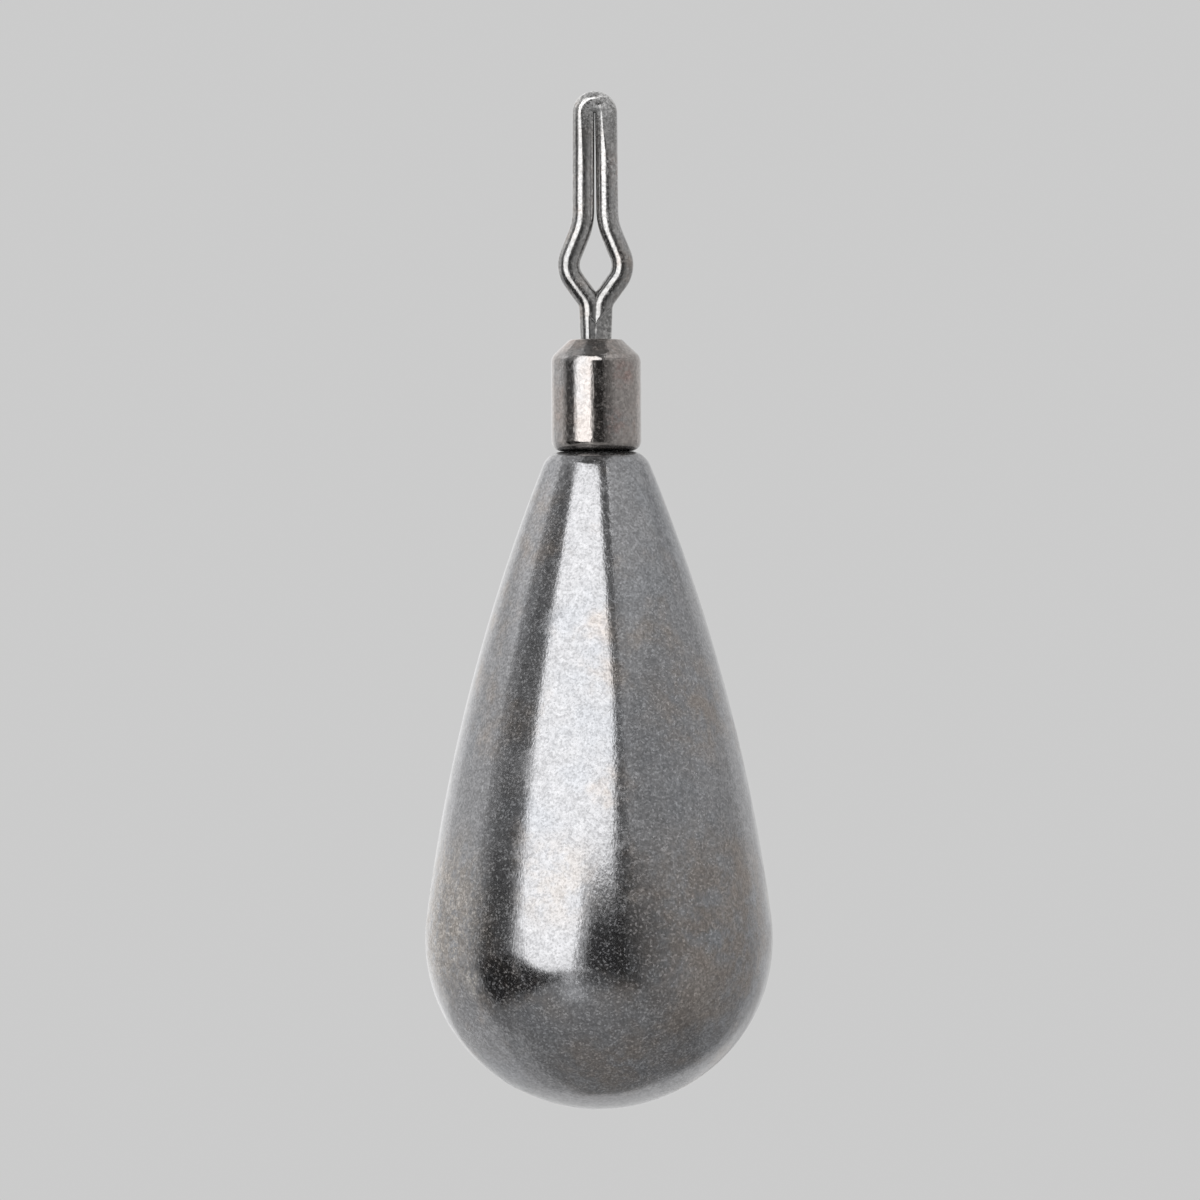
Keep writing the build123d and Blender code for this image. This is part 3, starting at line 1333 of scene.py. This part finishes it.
@dataclass(frozen=True)
class SoftBox:
    """Lamp behind a white cloth.

    Args:
        name: its name.
        middle: the direction of its middle.
        spread: the angles that it covers, across and up, in degrees.
        distance: how far it hangs from the sinker's middle, in metres.
        radiance: how bright it is, where 1 shows as white.
    """

    name: str
    middle: Direction
    spread: tuple[float, float]
    distance: float
    radiance: float

    def hang(self, target: Vector) -> None:
        """Adds the lamp.

        Args:
            target: the sinker's middle, which the lamp faces.
        """
        width, height = (2 * self.distance * math.tan(math.radians(angle / 2)) for angle in self.spread)
        lamp = bpy.data.lights.new(self.name, "AREA")
        lamp.shape = "RECTANGLE"
        lamp.size = width
        lamp.size_y = height
        lamp.energy = self.radiance * math.pi * width * height
        away = towards(self.middle)
        turned = away.to_track_quat("Z", "Y").to_matrix().to_4x4()
        hung = bpy.data.objects.new(self.name, lamp)
        hung.matrix_world = Matrix.Translation(target + away * self.distance) @ turned
        hung.visible_camera = False
        bpy.context.scene.collection.objects.link(hung)


@dataclass(frozen=True)
class Card:
    """Plain curved card that the metal reflects, at an even distance from the sinker's middle.

    Args:
        name: its name.
        corners: the directions of its corners.
        shade: its grey.
        distance: how far it hangs from the sinker's middle, in metres.
        cuts: how often its edges are cut to curve it.
    """

    name: str
    corners: tuple[Direction, ...]
    shade: float
    distance: float = 0.35
    cuts: int = 7

    def hang(self, target: Vector) -> None:
        """Adds the card.

        Args:
            target: the sinker's middle, which the card faces.
        """
        mesh = bmesh.new()
        corners = [mesh.verts.new(towards(corner)) for corner in self.corners]
        bmesh.ops.contextual_create(mesh, geom=corners)
        bmesh.ops.triangulate(mesh, faces=mesh.faces[:])
        bmesh.ops.subdivide_edges(mesh, edges=mesh.edges[:], cuts=self.cuts, use_grid_fill=True)
        for corner in mesh.verts:
            corner.co = target + corner.co.normalized() * self.distance
        keep_to_reflections(add_stage_mesh(self.name, mesh, self.shade))


@dataclass
class Studio:
    """Pale floor, soft light, cards and camera round the hanging sinker."""

    DISC_SEGMENTS: ClassVar[int] = 96

    # Frame and scale of the picture, and the camera
    picture_pixels: float = 1200.0
    pixels_per_mm: float = 35.35
    eye_pixel_row: float = 268.66
    axis_pixel_column: float = 597.3
    camera_roll: float = math.radians(0.3)
    camera_distance: float = 0.25
    camera_near: float = 0.0025

    # Floor, mat, room and what hangs in it
    floor_drop: float = 0.25
    floor_radius: float = 1.4
    floor_shade: float = 0.72
    mat_radius: float = 0.6
    mat_lift: float = 0.001
    mat_shade: float = 0.32
    room_radiance: float = 0.6
    panels: tuple[SoftBox | Card, ...] = (
        # Key light, which makes the broad highlight, and its brighter core
        SoftBox("key_softbox", (-23, 19), (80, 78), 0.42, 0.8),
        SoftBox("key_core", (-18, 19), (70, 78), 0.42, 1.2),
        # Fill lights at the sides and behind, which the flanks and rims reflect
        SoftBox("left_fill", (-134, 8), (76, 73), 0.42, 0.27),
        SoftBox("left_top_fill", (-113, 33), (36, 26), 0.43, 0.25),
        SoftBox("right_top_fill", (75, 44), (70, 34), 0.42, 0.15),
        SoftBox("right_back_fill", (149, 10), (40, 70), 0.42, 0.15),
        SoftBox("left_back_fill", (-156, 8), (36, 73), 0.44, 0.25),
        SoftBox("back_strip", (180, 17), (16, 75), 0.45, 0.3),
        # Dark band along the left of the highlight, paler towards its outside
        Card("left_card", ((-86, -12), (-62, -8), (-62, 12), (-79.5, 12)), 0.14, 0.28),
        Card("left_high_card", ((-79.5, 12), (-62, 12), (-57.5, 46), (-64, 46), (-74, 24)), 0.33, 0.28),
        Card(
            "left_mid_card",
            ((-88, -12), (-59.5, -8), (-59.5, 12), (-53.5, 46), (-68, 46), (-80, 24)),
            0.32,
            0.32,
        ),
        Card(
            "left_pale_card",
            ((-89, -12), (-58.5, -8), (-57.5, 12), (-49, 46), (-80, 46), (-92, 24)),
            0.5,
            0.36,
        ),
        # Dark foot of that band, and the light gap beside it
        Card("foot_card", ((-89, -12), (-89, -28), (-83, -36), (-26, -23), (-44, -17), (-59, -8)), 0.02),
        Card("foot_gap_card", ((-25, -22), (-17, -20), (-8, -40), (-30, -40)), 0.95),
        # Dark patch at the lower right of the highlight, which fades to the right and downwards
        Card("front_edge_card", ((-11.3, 14.2), (-5.3, 14.2), (-11, -19), (-17, -19)), 0.9),
        Card("front_card", ((-5.3, 14.2), (18, 14.7), (20, -24), (-11, -19)), 0.02),
        Card("front_mid_card", ((18, 16.3), (26, 15), (29, -32), (20, -24)), 0.15),
        Card("front_far_card", ((26, 15), (35, 14), (38, -32), (29, -32)), 0.28),
        Card("front_pale_card", ((35, 14), (46, 12), (50, -32), (38, -32)), 0.38),
        Card("front_low_card", ((22, -24), (34, -32), (-7, -28), (-17, -19)), 0.16),
        Card("front_low_pale_card", ((34, -32), (30, -40), (-4, -37), (-7, -28)), 0.36),
        # Thin dark line along the right of the highlight
        Card("post_low_card", ((9.8, 12), (21.5, 12), (21.5, 27), (15, 27)), 0.22, 0.36),
        Card("post_high_card", ((15, 27), (21.5, 27), (27, 50), (2, 50)), 0.22, 0.36),
        # Dark above the key light, for the barrel's shoulder and the tops of the bends
        Card("key_top_card", ((-62, 50), (-25, 46.5), (5, 46.5), (30, 50), (30, 70), (-62, 70)), 0.18),
        Card("ceiling_card", ((-135, 68), (-45, 68), (45, 68), (135, 68)), 0.22),
        # Pale table and walls, in steps, for the flanks and the underside
        Card("left_table_card", ((-165, -16), (-100, -16), (-100, -44), (-165, -46)), 0.65, 0.3),
        Card("left_table_edge_card", ((-165, -46), (-100, -44), (-84, -54), (-170, -56)), 0.5, 0.3),
        Card("back_table_card", ((150, -16), (195, -16), (195, -50), (150, -50)), 0.7, 0.3),
        Card("right_wall_card", ((46, 12), (88, 12), (88, -2), (46, -2)), 0.5, 0.37),
        Card("right_wall_end_card", ((88, 12), (118, 12), (118, -2), (88, -2)), 0.53, 0.37),
        Card("right_wall_high_card", ((26, 15), (88, 12), (88, 26), (30, 26)), 0.57, 0.37),
        Card("right_wall_high_end_card", ((88, 12), (118, 12), (118, 26), (88, 26)), 0.6, 0.37),
        Card("right_table_card", ((46, -2), (130, -2), (130, -12), (50, -12)), 0.49, 0.37),
        Card("right_table_edge_card", ((50, -12), (130, -12), (133, -21), (50, -21)), 0.46, 0.37),
        Card("right_table_foot_card", ((50, -21), (133, -21), (138, -30), (50, -30)), 0.41, 0.37),
        Card("right_table_low_card", ((50, -30), (138, -30), (143, -39), (50, -39)), 0.36, 0.37),
        Card("right_table_back_card", ((130, -12), (150, -16), (150, -50), (143, -39)), 0.55, 0.31),
    )

    def set_up(self) -> None:
        """Builds the whole studio."""
        low, high = CAD_BOX
        target = (low + high) / 2
        self._light_room()
        self._lay_floor(low.z - self.floor_drop)
        for panel in self.panels:
            panel.hang(target)
        self._place_camera()
        bpy.context.scene.view_settings.view_transform = "Standard"

    def _light_room(self) -> None:
        """Gives the room its even pale light."""
        world = bpy.data.worlds.new("pale_room")
        world.use_nodes = True
        sketch = NodeSketch(world.node_tree)
        grey = (self.room_radiance,) * 3
        light = sketch.add("ShaderNodeBackground", {"Color": (*grey, 1.0), "Strength": 1.0})
        sketch.add("ShaderNodeOutputWorld", {"Surface": light.outputs[0]})
        bpy.context.scene.world = world

    def _lay_floor(self, height: float) -> None:
        """Lays a pale floor, and on it a grey mat that the underside of the weight reflects.

        Args:
            height: the floor's height, in metres.
        """
        add_stage_mesh("pale_floor", self._disc(self.floor_radius, height), self.floor_shade)
        mat = self._disc(self.mat_radius, height + self.mat_lift)
        keep_to_reflections(add_stage_mesh("grey_mat", mat, self.mat_shade))

    @classmethod
    def _disc(cls, radius: float, height: float) -> BMesh:
        """Level round sheet about the swivel axis.

        Args:
            radius: its radius, in metres.
            height: its height, in metres.

        Returns:
            Its mesh.
        """
        mesh = bmesh.new()
        bmesh.ops.create_circle(mesh, cap_ends=True, radius=radius, segments=cls.DISC_SEGMENTS)
        bmesh.ops.translate(mesh, verts=mesh.verts[:], vec=(0, 0, height))
        return mesh

    def _place_camera(self) -> None:
        """Sets the camera level in front, with the photograph's frame and scale."""
        middle = self.picture_pixels / 2
        lens = bpy.data.cameras.new("camera")
        frame_width = self.picture_pixels / self.pixels_per_mm * MM
        lens.lens = lens.sensor_width * self.camera_distance / frame_width
        lens.clip_start = self.camera_near
        camera = bpy.data.objects.new("camera", lens)
        camera.location = (
            (middle - self.axis_pixel_column) / self.pixels_per_mm * MM,
            -self.camera_distance,
            (self.eye_pixel_row - middle) / self.pixels_per_mm * MM,
        )
        camera.rotation_euler = (math.pi / 2, self.camera_roll, 0)
        bpy.context.scene.collection.objects.link(camera)
        bpy.context.scene.camera = camera


def main() -> None:
    """Builds the sinker and the studio."""
    logging.basicConfig(level=logging.INFO, format="%(message)s")
    Studio().set_up()
    effects = SurfaceEffects()
    for piece in (TeardropWeight(), SwivelBarrel(), LineClip()):
        piece.build(effects)
    BuriedAnchor().dress(effects)


if __name__ == "__main__":
    main()
